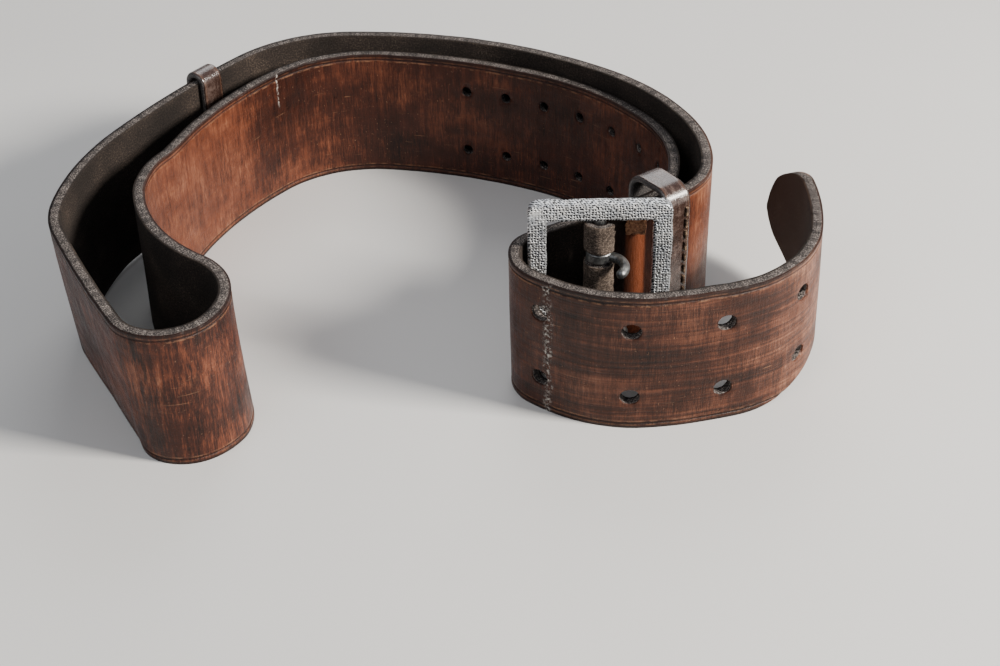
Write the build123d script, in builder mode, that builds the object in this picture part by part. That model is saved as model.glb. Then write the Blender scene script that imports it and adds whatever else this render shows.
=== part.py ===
"""Two-prong leather belt, stored folded double on its edge, with an open centre-bar buckle.

Millimetres, +Z up. The origin is the centre of the footprint, on the surface the belt stands on.
The strap stands on edge. Its centre line, seen from above, is a chain of tangent arcs that starts at
the buckle, runs round the outer layer, folds back at the left, runs round the inner layer, passes
through the fixed keeper and behind the buckle, and comes round in front of it to the tip.
"""

import os
from math import cos, radians, sin

from build123d import *

# Strap
STRAP_WIDTH = 50.0
STRAP_THICK = 4.0
ROW_SPACING = 25.2  # between the two rows of punched holes

# Centre line from above: where it starts, which way it heads, then (length, turn in degrees)
START = (60.2, -44.5)
START_HEADING = 22.0
CENTRE_LINE = [
    (24, 17), (20, 42), (34, 28), (51, 31), (102, 37), (46, 53), (73, 13), (41, 24), (17, 28),
    (58, 6), (28, 106), (23, 57), (17, 39), (51, -45), (25, -36), (13, 10), (58, -23), (45, -57),
    (63, -21), (44, -26), (47, -43), (10, -8), (14, -34), (12, -20), (31, 6), (9, 50), (17, 62), (16, 15),
    (26, 33), (26, 12), (45, 61), (33, 18), (24, 20),
]

# The strap's stretches, as distances along the centre line
OUTER_TURN = 28.0
OUTER_BACK = 129.0
OUTER_LEFT = 231.0
OUTER_CORNER = 350.0
BIG_FOLD = 406.0
INNER_LEFT = 534.0
INNER_BACK = 610.0
INNER_TURN = 833.0
BEHIND_BUCKLE = 912.0
TIGHT_BEND = 947.0
FRONT_CURL = 973.0
RIGHT_CURL = 1046.0
TIP = 1119.0
STRAP_END = 1143.0
TIP_REACH = 24.0
TIP_NOSE = 4.0
TIP_SHOULDER = (12.0, 16.0)  # a point on the tip's rounded outline, from its root and its middle
TIP_ROOT = -2.0
TIP_FACING = 10.0  # turn from the heading at the tip's root to the flat side view of its outline

# How high the strap's lower edge rides above the surface
LIFT_BUCKLE = 8.0
LIFT_OUTER_BACK = 5.8
LIFT_OUTER_LEFT = 4.2
LIFT_OUTER_CORNER = 2.8
LIFT_INNER_KEEPER = 3.2

# Punched holes
ADJUSTING_HOLE_RADIUS = 3.0
ADJUSTING_HOLES = [977.0 + 29.7 * i for i in range(4)]
SIZING_HOLE_RADIUS = 2.1
SIZING_HOLES = [759.0 + 16.2 * i for i in range(8)]

# Buckle
BUCKLE_WIDTH = 46.2
BUCKLE_HEIGHT = 65.2
BUCKLE_DEPTH = 4.8
BUCKLE_BAR = 6.2
BUCKLE_CORNER = 3.2
BUCKLE_INNER_CORNER = 1.0
CENTRE_BAR_RADIUS = 2.1
CENTRE_BAR_SEAT = 3.4  # how deep the bar's ends sit in the frame
BAR_X, BAR_Y = 53.1, -50.7

# Leather roll round the centre bar
ROLL_INNER = 2.7
ROLL_OUTER = 5.1
ROLL_SKIVE = 1.2  # how far the thinned roll's grain face is from the strap's centre line
SLOT_HEIGHT = 4.6  # slot in the roll for each prong
SLOT_EDGE = 5.3  # how far past the bar's axis the slots reach towards the strap

# Prongs
PRONG_HEIGHT = 3.6
PRONG_BORE = CENTRE_BAR_RADIUS + 0.08
PRONG_EYE = 4.3
PRONG_RADIUS = 1.6
PRONG_REACH = 15.0
PRONG_ANGLE = -72.0
PRONG_ARCH = [(2.3, 2.2), (5.8, 5.0), (9.6, 5.0)]  # its middle line before the hooked point
PRONG_HOOK = 2.2

# Keepers
KEEPER_LENGTH = 10.0
FIXED_KEEPER_AT = 19.0
FIXED_KEEPER_WALL = 2.2
FIXED_KEEPER_TOP = 61.9
FIXED_KEEPER_CORNER = 5.0
FIXED_KEEPER_FAR = 13.0  # flesh-side limit of the inner layer inside the fixed keeper
SLIDING_KEEPER_AT = 297.0
SLIDING_KEEPER_WALL = 2.2
SLIDING_KEEPER_TOP = 57.2
SLIDING_KEEPER_CORNER = 4.4
KEEPER_BOTTOM = 0.1
KEEPER_GAP = 0.4
KEEPER_FOOT = 0.8  # inner radius at the foot of each keeper

# Remnant of the stitched-down chape end
TAB_START, TAB_END = 1.0, 7.0
TAB_BOTTOM = 53.4
TAB_THICK = 1.2

# Finishing sizes
BUCKLE_ROUND = 2.1
PRONG_EYE_ROUND = 0.7
STITCH_RADIUS = 0.45
STITCH_LENGTH = 3.0
STITCH_PITCH = 4.4
STITCH_START = 12.0
STITCH_COUNT = 10
STITCH_ASIDE = 3.0  # from the keeper's middle, along the strap
STAPLE_WIRE = 0.9
STAPLE_ROUND = 0.4
STAPLE_LENGTH = 9.0
STAPLE_LEVEL = 30.0

os.makedirs("parts", exist_ok=True)


def save(part, name):
    """Label a finished part and write it to its own file."""
    part.label = name
    export_step(part, f"parts/{name}.step")


# Centre line ---------------------------------------------------------------------------------


def advance(point, heading, length, turn):
    """Point and heading after a tangent arc of the given length and turn."""
    half = radians(turn) / 2
    chord = length * sin(half) / half
    x = point[0] + chord * cos(radians(heading) + half)
    y = point[1] + chord * sin(radians(heading) + half)
    return (x, y), heading + turn


def arcs(start, end):
    """The arcs of the centre line between two distances: point, heading, length, turn."""
    point, heading, done = START, START_HEADING, 0.0
    found = []
    for length, turn in CENTRE_LINE:
        first = max(start - done, 0.0)
        last = min(end - done, length)
        if last > first + 1e-6:
            skipped = turn * first / length
            at, facing = (point, heading) if first == 0 else advance(point, heading, first, skipped)
            found.append((at, facing, last - first, turn * (last - first) / length))
        point, heading = advance(point, heading, length, turn)
        done += length
    return found


def station(distance):
    """Point and heading at a distance along the centre line."""
    if distance <= 0:
        return START, START_HEADING
    at, facing, length, turn = arcs(0.0, distance)[-1]
    return advance(at, facing, length, turn)


def normal(heading):
    """Unit vector to the left of a heading, from the grain side to the flesh side."""
    return Vector(-sin(radians(heading)), cos(radians(heading)), 0)


def direction(heading):
    """Unit vector along a heading."""
    return Vector(cos(radians(heading)), sin(radians(heading)), 0)


def cross_plane(distance, height=0.0):
    """Upright plane across the strap: its X runs from grain to flesh, its Y up."""
    (x, y), heading = station(distance)
    return Plane(origin=(x, y, height), x_dir=normal(heading), z_dir=direction(heading))


def band_outline(start, end, grain=-STRAP_THICK / 2, flesh=STRAP_THICK / 2):
    """Closed outline of a band along the strap, inside a BuildLine, from above."""
    for side in (grain, flesh):
        for at, facing, length, turn in arcs(start, end):
            centre_radius = length / radians(turn)
            edge_start = Vector(*at, 0) + normal(facing) * side
            JernArc(edge_start, direction(facing), abs(centre_radius - side), turn)
    for distance in (start, end):
        at, facing = station(distance)
        middle = Vector(*at, 0)
        Line(middle + normal(facing) * grain, middle + normal(facing) * flesh)


def lift_plane(start, start_lift, end, end_lift, height=0.0):
    """Plane that climbs evenly from one place on the centre line to another."""
    a = Vector(*station(start)[0], start_lift + height)
    b = Vector(*station(end)[0], end_lift + height)
    run = b - a
    level = Vector(-run.Y, run.X, 0)
    upward = run.cross(level).normalized()
    return Plane(origin=a, z_dir=upward if upward.Z > 0 else -upward)


def hole_plane(distance, height):
    """Plane on the strap's grain face, facing out of it, for a punched hole."""
    (x, y), heading = station(distance)
    outward = -normal(heading)
    return Plane(origin=Vector(x, y, height) + outward * (STRAP_THICK / 2), z_dir=outward)


def strap_stretch(name, start, end, start_lift=0.0, end_lift=0.0, holes=(), hole_radius=0.0):
    """One stretch of the strap, with the pairs of punched holes that fall in it."""
    with BuildPart() as stretch:
        with BuildSketch():
            with BuildLine():
                band_outline(start, end)
            make_face()
        extrude(amount=STRAP_WIDTH + 2 * LIFT_BUCKLE)
        split(bisect_by=lift_plane(start, start_lift, end, end_lift), keep=Keep.TOP)
        split(bisect_by=lift_plane(start, start_lift, end, end_lift, STRAP_WIDTH), keep=Keep.BOTTOM)
        for distance in holes:
            if start < distance < end:
                share = (distance - start) / (end - start)
                middle = start_lift + (end_lift - start_lift) * share + STRAP_WIDTH / 2
                for row in (-ROW_SPACING / 2, ROW_SPACING / 2):
                    with BuildSketch(hole_plane(distance, middle + row)):
                        Circle(hole_radius)
                    extrude(amount=-2 * STRAP_THICK, mode=Mode.SUBTRACT)
    save(stretch.part, name)


# Strap ---------------------------------------------------------------------------------------

strap_stretch("strap_chape", 0.0, OUTER_TURN, LIFT_BUCKLE, LIFT_BUCKLE)
strap_stretch("strap_outer_turn", OUTER_TURN, OUTER_BACK, LIFT_BUCKLE, LIFT_OUTER_BACK)
strap_stretch("strap_outer_back", OUTER_BACK, OUTER_LEFT, LIFT_OUTER_BACK, LIFT_OUTER_LEFT)
strap_stretch("strap_outer_left", OUTER_LEFT, OUTER_CORNER, LIFT_OUTER_LEFT, LIFT_OUTER_CORNER)
strap_stretch("strap_outer_corner", OUTER_CORNER, BIG_FOLD, LIFT_OUTER_CORNER, 0.0)
strap_stretch("strap_big_fold", BIG_FOLD, INNER_LEFT)
strap_stretch("strap_inner_left", INNER_LEFT, INNER_BACK)
strap_stretch(
    "strap_inner_back", INNER_BACK, INNER_TURN, holes=SIZING_HOLES, hole_radius=SIZING_HOLE_RADIUS
)
strap_stretch(
    "strap_inner_turn", INNER_TURN, BEHIND_BUCKLE, 0.0, LIFT_INNER_KEEPER,
    holes=SIZING_HOLES, hole_radius=SIZING_HOLE_RADIUS,
)
strap_stretch("strap_behind_buckle", BEHIND_BUCKLE, TIGHT_BEND, LIFT_INNER_KEEPER, 0.0)
strap_stretch("strap_tight_bend", TIGHT_BEND, FRONT_CURL)
strap_stretch(
    "strap_front_curl", FRONT_CURL, RIGHT_CURL, holes=ADJUSTING_HOLES, hole_radius=ADJUSTING_HOLE_RADIUS
)
strap_stretch(
    "strap_right_curl", RIGHT_CURL, TIP, holes=ADJUSTING_HOLES, hole_radius=ADJUSTING_HOLE_RADIUS
)

with BuildPart() as strap_tip:
    with BuildSketch():
        with BuildLine():
            band_outline(TIP, STRAP_END)
        make_face()
    extrude(amount=STRAP_WIDTH)
    tip_at, tip_heading = station(TIP)
    tip_facing = tip_heading + TIP_FACING
    tip_side = Plane(
        origin=(*tip_at, STRAP_WIDTH / 2), x_dir=direction(tip_facing), z_dir=-normal(tip_facing)
    )
    with BuildSketch(tip_side) as tip_shape:
        with BuildLine():
            shoulder_x, shoulder_y = TIP_SHOULDER
            upper = ThreePointArc((TIP_ROOT, STRAP_WIDTH / 2), TIP_SHOULDER, (TIP_REACH, 0))
            lower = ThreePointArc(
                (TIP_REACH, 0), (shoulder_x, -shoulder_y), (TIP_ROOT, -STRAP_WIDTH / 2)
            )
            Line(lower @ 1, upper @ 0)
        make_face()
        fillet(tip_shape.vertices().sort_by(Axis.X)[-1], TIP_NOSE)
    extrude(amount=4 * STRAP_THICK, both=True, mode=Mode.INTERSECT)
save(strap_tip.part, "strap_tip")


# Leather roll round the centre bar -------------------------------------------------------------

PRONG_LEVELS = [LIFT_BUCKLE + STRAP_WIDTH / 2 + row for row in (ROW_SPACING / 2, -ROW_SPACING / 2)]

with BuildPart() as chape_roll:
    chape_end = Vector(*START, 0) - Vector(BAR_X, BAR_Y, 0)
    chape_across = normal(START_HEADING)
    with BuildSketch(Plane(origin=(BAR_X, BAR_Y, LIFT_BUCKLE))):
        Circle(ROLL_OUTER)
        with BuildLine():
            Polyline(
                (0, 0),
                (0, ROLL_OUTER),
                chape_end + chape_across * (STRAP_THICK / 2),
                chape_end - chape_across * ROLL_SKIVE,
                (0, 0),
            )
        make_face()
        Circle(ROLL_INNER, mode=Mode.SUBTRACT)
        with BuildLine():
            Polyline((0, 0), chape_end - chape_across * ROLL_SKIVE, (ROLL_OUTER, -1), (0, 0))
        make_face(mode=Mode.SUBTRACT)
    extrude(amount=STRAP_WIDTH)
    for level in PRONG_LEVELS:
        with BuildSketch(Plane(origin=(BAR_X, BAR_Y, level - SLOT_HEIGHT / 2))):
            with Locations((SLOT_EDGE - 2 * ROLL_OUTER, 0)):
                Rectangle(4 * ROLL_OUTER, 4 * ROLL_OUTER)
        extrude(amount=SLOT_HEIGHT, mode=Mode.SUBTRACT)
save(chape_roll.part, "chape_roll")

# Remnant of the chape's stitched-down end, on the grain face beside the roll.
with BuildPart() as chape_tab:
    with BuildSketch(Plane.XY.offset(TAB_BOTTOM)):
        with BuildLine():
            band_outline(TAB_START, TAB_END, -STRAP_THICK / 2 - TAB_THICK, -STRAP_THICK / 2)
        make_face()
    extrude(amount=LIFT_BUCKLE + STRAP_WIDTH - TAB_BOTTOM)
save(chape_tab.part, "chape_tab")


# Buckle ----------------------------------------------------------------------------------------

with BuildPart() as centre_bar:
    with BuildSketch(Plane(origin=(BAR_X, BAR_Y, BUCKLE_BAR - CENTRE_BAR_SEAT))):
        Circle(CENTRE_BAR_RADIUS)
    extrude(amount=BUCKLE_HEIGHT - 2 * (BUCKLE_BAR - CENTRE_BAR_SEAT))
save(centre_bar.part, "buckle_centre_bar")

with BuildPart() as buckle_frame:
    with BuildSketch(Plane(origin=(BAR_X, BAR_Y, BUCKLE_HEIGHT / 2), x_dir=(1, 0, 0), z_dir=(0, -1, 0))):
        RectangleRounded(BUCKLE_WIDTH, BUCKLE_HEIGHT, BUCKLE_CORNER)
        RectangleRounded(
            BUCKLE_WIDTH - 2 * BUCKLE_BAR,
            BUCKLE_HEIGHT - 2 * BUCKLE_BAR,
            BUCKLE_INNER_CORNER,
            mode=Mode.SUBTRACT,
        )
    extrude(amount=BUCKLE_DEPTH / 2, both=True)
    rims = buckle_frame.faces().sort_by(Axis.Y)
    fillet(rims[0].edges() + rims[-1].edges(), BUCKLE_ROUND)
    add(centre_bar.part, mode=Mode.SUBTRACT)
save(buckle_frame.part, "buckle_frame")


def prong(name, level):
    """Prong with its eye round the centre bar; it arches over and its point hooks back."""
    facing = direction(PRONG_ANGLE)
    base = Plane(origin=(BAR_X, BAR_Y, level), x_dir=facing, z_dir=(0, 0, 1))
    with BuildPart() as body:
        with BuildSketch(base):
            Circle(PRONG_EYE)
        extrude(amount=PRONG_HEIGHT / 2, both=True)
        fillet(body.edges(), PRONG_EYE_ROUND)
        with BuildLine(base):
            spine = Spline(*PRONG_ARCH, (PRONG_REACH - PRONG_RADIUS, PRONG_HOOK))
        with BuildSketch(Plane(origin=spine @ 0, z_dir=spine % 0)):
            Circle(PRONG_RADIUS)
        sweep(path=spine)
        with Locations(spine @ 1):
            Sphere(PRONG_RADIUS)
        with BuildSketch(base):
            Circle(PRONG_BORE)
        extrude(amount=PRONG_HEIGHT, both=True, mode=Mode.SUBTRACT)
    save(body.part, name)


prong("upper_prong", PRONG_LEVELS[0])
prong("lower_prong", PRONG_LEVELS[1])


# Keepers ---------------------------------------------------------------------------------------


def keeper(name, at, far_side, wall, top, outer_corner):
    """Leather loop round the strap: far_side is the flesh-side limit of what it encloses.

    Gives the levels of its outer faces, on the grain side and on the flesh side.
    """
    near = -STRAP_THICK / 2 - KEEPER_GAP
    far = far_side + KEEPER_GAP
    middle = (near + far) / 2
    inner_width = far - near
    inner_height = top - KEEPER_BOTTOM - 2 * wall
    centre = Location((middle, (top + KEEPER_BOTTOM) / 2))
    with BuildPart() as loop:
        with BuildSketch(cross_plane(at)) as section:
            with Locations(centre):
                Rectangle(inner_width + 2 * wall, inner_height + 2 * wall)
            fillet(section.vertices().group_by(Axis.Y)[-1], outer_corner)
            fillet(section.vertices().group_by(Axis.Y)[0], wall + KEEPER_FOOT)
        extrude(amount=KEEPER_LENGTH / 2, both=True)
        with BuildSketch(cross_plane(at)) as hollow:
            with Locations(centre):
                Rectangle(inner_width, inner_height)
            fillet(hollow.vertices().group_by(Axis.Y)[-1], outer_corner - wall)
            fillet(hollow.vertices().group_by(Axis.Y)[0], KEEPER_FOOT)
        extrude(amount=KEEPER_LENGTH, both=True, mode=Mode.SUBTRACT)
    save(loop.part, name)
    return near - wall, far + wall


fixed_front = keeper(
    "fixed_keeper", FIXED_KEEPER_AT, FIXED_KEEPER_FAR,
    FIXED_KEEPER_WALL, FIXED_KEEPER_TOP, FIXED_KEEPER_CORNER,
)[0]
sliding_back = keeper(
    "sliding_keeper", SLIDING_KEEPER_AT, STRAP_THICK / 2,
    SLIDING_KEEPER_WALL, SLIDING_KEEPER_TOP, SLIDING_KEEPER_CORNER,
)[1]

# Stitches that close the fixed keeper, in a row down its front wall beside its edge.
with BuildPart() as keeper_thread:
    stitch_plane = cross_plane(FIXED_KEEPER_AT)
    for row in range(STITCH_COUNT):
        place = stitch_plane.from_local_coords(
            Vector(fixed_front - STITCH_RADIUS, STITCH_START + row * STITCH_PITCH, STITCH_ASIDE)
        )
        with BuildSketch(Plane(origin=place)):
            Circle(STITCH_RADIUS)
        extrude(amount=STITCH_LENGTH)
save(keeper_thread.part, "fixed_keeper_thread")

# Wire staple that closes the sliding keeper, on its flesh-side wall.
with BuildPart() as keeper_staple:
    staple_plane = cross_plane(SLIDING_KEEPER_AT)
    with BuildSketch(staple_plane):
        with Locations((sliding_back + STAPLE_WIRE / 2, STAPLE_LEVEL)):
            RectangleRounded(STAPLE_WIRE, STAPLE_LENGTH, STAPLE_ROUND)
    extrude(amount=STAPLE_WIRE / 2, both=True)
save(keeper_staple.part, "sliding_keeper_staple")
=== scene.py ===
from math import atan2, cos, degrees, hypot, pi, radians, sin, sqrt

import bmesh
import bpy
from bpy.props import FloatProperty, FloatVectorProperty, IntProperty, PointerProperty
from mathutils import Matrix, Vector, noise


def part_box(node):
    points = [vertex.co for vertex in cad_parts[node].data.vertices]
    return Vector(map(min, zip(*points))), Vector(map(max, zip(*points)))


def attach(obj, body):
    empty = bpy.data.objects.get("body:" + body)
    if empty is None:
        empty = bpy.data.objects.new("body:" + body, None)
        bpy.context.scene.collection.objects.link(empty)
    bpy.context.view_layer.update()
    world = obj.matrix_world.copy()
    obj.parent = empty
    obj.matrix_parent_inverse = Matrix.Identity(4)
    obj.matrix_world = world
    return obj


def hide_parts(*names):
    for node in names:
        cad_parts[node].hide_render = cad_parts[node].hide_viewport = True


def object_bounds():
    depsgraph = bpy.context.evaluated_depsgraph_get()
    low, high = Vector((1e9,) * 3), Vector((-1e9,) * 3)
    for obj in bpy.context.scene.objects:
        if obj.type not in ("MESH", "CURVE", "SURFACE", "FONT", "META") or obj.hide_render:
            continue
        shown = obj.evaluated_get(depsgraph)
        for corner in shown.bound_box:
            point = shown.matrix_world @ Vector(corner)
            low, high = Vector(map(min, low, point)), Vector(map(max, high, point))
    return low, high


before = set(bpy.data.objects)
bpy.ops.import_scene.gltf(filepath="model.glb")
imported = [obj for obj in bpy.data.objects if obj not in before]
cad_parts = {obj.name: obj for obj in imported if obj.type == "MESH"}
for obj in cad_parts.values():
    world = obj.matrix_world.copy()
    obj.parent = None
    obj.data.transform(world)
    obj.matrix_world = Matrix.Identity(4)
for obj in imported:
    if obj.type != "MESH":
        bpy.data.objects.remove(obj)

bl_info = {
    "name": "Two-prong leather belt",
    "version": (1, 0, 0),
    "blender": (4, 5, 0),
    "location": "View3D > Sidebar > Belt",
    "description": "Builds a worn leather belt folded on its edge, with its buckle and keepers",
    "category": "Add Mesh",
}

CAD_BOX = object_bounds()
MM = 0.001

# The strap's centre line from above, as tangent arcs: (length in mm, turn in degrees). It starts
# beside the buckle, heads along START_HEADING and ends at the tip.
START = Vector((60.2, -44.5)) * MM
START_HEADING = 22.0
CENTRE_LINE = [
    (24, 17), (20, 42), (34, 28), (51, 31), (102, 37), (46, 53), (73, 13), (41, 24), (17, 28),
    (58, 6), (28, 106), (23, 57), (17, 39), (51, -45), (25, -36), (13, 10), (58, -23), (45, -57),
    (63, -21), (44, -26), (47, -43), (10, -8), (14, -34), (12, -20), (31, 6), (9, 50), (17, 62), (16, 15),
    (26, 33), (26, 12), (45, 61), (33, 18), (24, 20),
]
# How far the strap's lower edge is off the surface, as (distance along the strap, lift), in mm
LIFTS = [(0, 8.0), (28, 8.0), (129, 5.8), (231, 4.2), (350, 2.8), (406, 0), (833, 0), (912, 3.2), (947, 0)]
# How far the strap's upper edge leans out to the grain side, as (distance, lean), in mm
LEANS = [
    (0, 0), (353, 0), (430, 0.6), (500, 1.2), (560, 0.2), (620, 0),
    (940, 0), (965, 0.8), (1040, 0.8), (1075, 0.1), (1119, 0.5), (1143, 0.4),
]
# How far its lower edge is drawn in to the flesh side, as (distance, offset), in mm
FEET = [
    (0, 0), (353, 0), (392, 2.6), (436, 4.6), (462, 4.4), (484, 0.4), (505, -3.4), (524, -3.8),
    (548, -2.2), (590, 0), (1040, 0), (1080, -1.2), (1143, -0.8),
]

LOWER_ROW, UPPER_ROW = 12.4, 37.6
ADJUSTING_HOLES = [977.0 + 29.7 * i for i in range(4)]
ADJUSTING_RADIUS, ADJUSTING_STRETCH = 3.0, 1.08
SIZING_HOLES = [759.0 + 16.2 * i for i in range(8)]
SIZING_RADIUS = 2.1
SLOT_HALF = 2.4
SLOT_MARGIN = 3.5  # from the slots' end to the strap's start
CREASE_IN = 1.9  # from an edge to the crease pressed beside it
CREASE_DEPTH = 0.22
WAVE, RIPPLE, TOP_RIPPLE = 0.30, 0.10, 0.18
TORN_DEPTH = 1.2
TIP_REACH, TIP_NOSE = 27, 6
# The lower edge starts to rise this far from the tip, and has its whole rise this far from it
RISE_START, RISE_FULL = 98, 50

FIXED_KEEPER_AT = 19.0
SLIDING_KEEPER_AT = 297.0
# The strap is kept free of waves where the sliding keeper runs
RUN_MIDDLE = SLIDING_KEEPER_AT + 15
RUN_FLAT, RUN_END = 44, 66

REMNANT_DROP = 3.0  # how far the torn remnant hangs below its block
REMNANT_PULL = 0.9


# Working tools ---------------------------------------------------------------------------------


def clear_selection():
    """Leave edit mode and deselect everything."""
    if bpy.context.object and bpy.context.object.mode != "OBJECT":
        bpy.ops.object.mode_set(mode="OBJECT")
    bpy.ops.object.select_all(action="DESELECT")


def take(piece):
    """Make a piece the only selected and active one."""
    clear_selection()
    piece.select_set(True)
    bpy.context.view_layer.objects.active = piece
    return piece


def named(name):
    """The object just added, with its new name."""
    piece = bpy.context.object
    piece.name = name
    piece.data.name = name
    return piece


def fix_place():
    """Write the active object's place into its mesh."""
    bpy.ops.object.transform_apply(location=True, rotation=True, scale=True)


def modify(piece, kind, **settings):
    """Add a modifier with its settings and apply it."""
    take(piece)
    modifier = piece.modifiers.new(kind.lower(), kind)
    for key, value in settings.items():
        setattr(modifier, key, value)
    bpy.ops.object.modifier_apply(modifier=modifier.name)


def tidy_normals(piece):
    """Merge doubles and point every face outwards."""
    take(piece)
    bpy.ops.object.mode_set(mode="EDIT")
    bpy.ops.mesh.select_all(action="SELECT")
    bpy.ops.mesh.remove_doubles(threshold=0.005 * MM)
    bpy.ops.mesh.normals_make_consistent(inside=False)
    bpy.ops.object.mode_set(mode="OBJECT")


def smooth(piece, angle=40):
    """Shade smooth below an angle in degrees."""
    take(piece)
    bpy.ops.object.shade_smooth_by_angle(angle=radians(angle))


def finish_piece(piece, body, slot, material, *replaced):
    """Give a piece its material, and say what it rides on and stands for."""
    piece.data.materials.clear()
    piece.data.materials.append(material)
    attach(piece, body)
    if replaced:
        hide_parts(*replaced)


def along_table(table, distance):
    """Value of a table of (distance, value) pairs, in straight lines between them."""
    if distance <= table[0][0]:
        return table[0][1]
    for (a, low), (b, high) in zip(table, table[1:]):
        if distance <= b:
            return low + (high - low) * (distance - a) / (b - a)
    return table[-1][1]


def ease(value, low, high):
    """Smooth step from 0 at low to 1 at high."""
    t = min(max((value - low) / (high - low), 0.0), 1.0)
    return t * t * (3 - 2 * t)


# Centre line -----------------------------------------------------------------------------------


def turned(heading):
    """Unit vector along a heading in degrees."""
    return Vector((cos(radians(heading)), sin(radians(heading))))


def advance(point, heading, length, turn):
    """Point and heading after a tangent arc."""
    if abs(turn) < 1e-9:
        return point + turned(heading) * length, heading
    half = radians(turn) / 2
    return point + turned(heading + turn / 2) * (length * sin(half) / half), heading + turn


def station(distance):
    """Point (m) and heading at a distance (mm) along the centre line."""
    point, heading, left = START, START_HEADING, distance
    for length, turn in CENTRE_LINE:
        step = min(length, left)
        point, heading = advance(point, heading, step * MM, turn * step / length)
        left -= step
        if left <= 0:
            break
    return point, heading


def bar_axis():
    """Centre of the buckle's centre bar, from above."""
    low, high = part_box("buckle_centre_bar")
    return ((low + high) / 2).to_2d()


def chape_arcs(radius, wrap):
    """Start, heading and arcs of the chape, from its torn end round the bar to the strap's start."""
    offset = START - bar_axis()
    along = turned(START_HEADING)
    across = turned(START_HEADING + 90)
    run, rise = offset.dot(along), offset.dot(across) - radius
    bend = 2 * atan2(abs(rise), run)
    bend_length = hypot(run, rise) / 2 * (bend / 2) / sin(bend / 2) / MM
    side = 1 if rise > 0 else -1
    first = START_HEADING + 90 + wrap
    point = bar_axis() + turned(first) * radius
    arcs = [
        (radians(wrap) * radius / MM, -wrap),
        (bend_length, side * degrees(bend)),
        (bend_length, -side * degrees(bend)),
    ]
    return point, first - 90, arcs


def strap_line(radius, wrap, step):
    """Poly curve along the whole strap, and how far along it the strap's own zero lies (mm)."""
    point, heading, arcs = chape_arcs(radius, wrap)
    zero = sum(length for length, _ in arcs)
    points = [point]
    for length, turn in arcs + CENTRE_LINE:
        count = max(2, round(length / step))
        for _ in range(count):
            point, heading = advance(point, heading, length * MM / count, turn / count)
            points.append(point)
    return line_object("strap_line", points), zero


def line_object(name, points):
    """Poly curve object through flat points."""
    curve = bpy.data.curves.new(name, "CURVE")
    curve.dimensions = "2D"
    spline = curve.splines.new("POLY")
    spline.points.add(len(points) - 1)
    for place, point in zip(spline.points, points):
        place.co = (point.x, point.y, 0, 1)
    line = bpy.data.objects.new(name, curve)
    bpy.context.scene.collection.objects.link(line)
    return line


def bend_along(piece, line):
    """Bend a flat piece, which lies along X, on to a line, and drop the line."""
    modify(piece, "CURVE", object=line, deform_axis="POS_X")
    bpy.data.objects.remove(line)


# Shader maths ----------------------------------------------------------------------------------


class Value:
    """A socket of a material, which can be used in sums."""

    def __init__(self, paint, socket):
        self.paint = paint
        self.socket = socket

    def maths(self, operation, *values):
        inputs = dict(enumerate(values))
        return self.paint.node("ShaderNodeMath", {"operation": operation}, inputs)

    def __add__(self, other):
        return self.maths("ADD", self, other)

    def __radd__(self, other):
        return self.maths("ADD", other, self)

    def __sub__(self, other):
        return self.maths("SUBTRACT", self, other)

    def __rsub__(self, other):
        return self.maths("SUBTRACT", other, self)

    def __mul__(self, other):
        return self.maths("MULTIPLY", self, other)

    def __rmul__(self, other):
        return self.maths("MULTIPLY", other, self)

    def __abs__(self):
        return self.maths("ABSOLUTE", self)

    def least(self, other):
        return self.maths("MINIMUM", self, other)

    def most(self, other):
        return self.maths("MAXIMUM", self, other)

    def between(self, low, high):
        """0 below low, 1 above high, smooth between; low may be above high."""
        return self.paint.node(
            "ShaderNodeMapRange",
            {"interpolation_type": "SMOOTHSTEP"},
            {"Value": self, "From Min": low, "From Max": high},
        )


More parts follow.
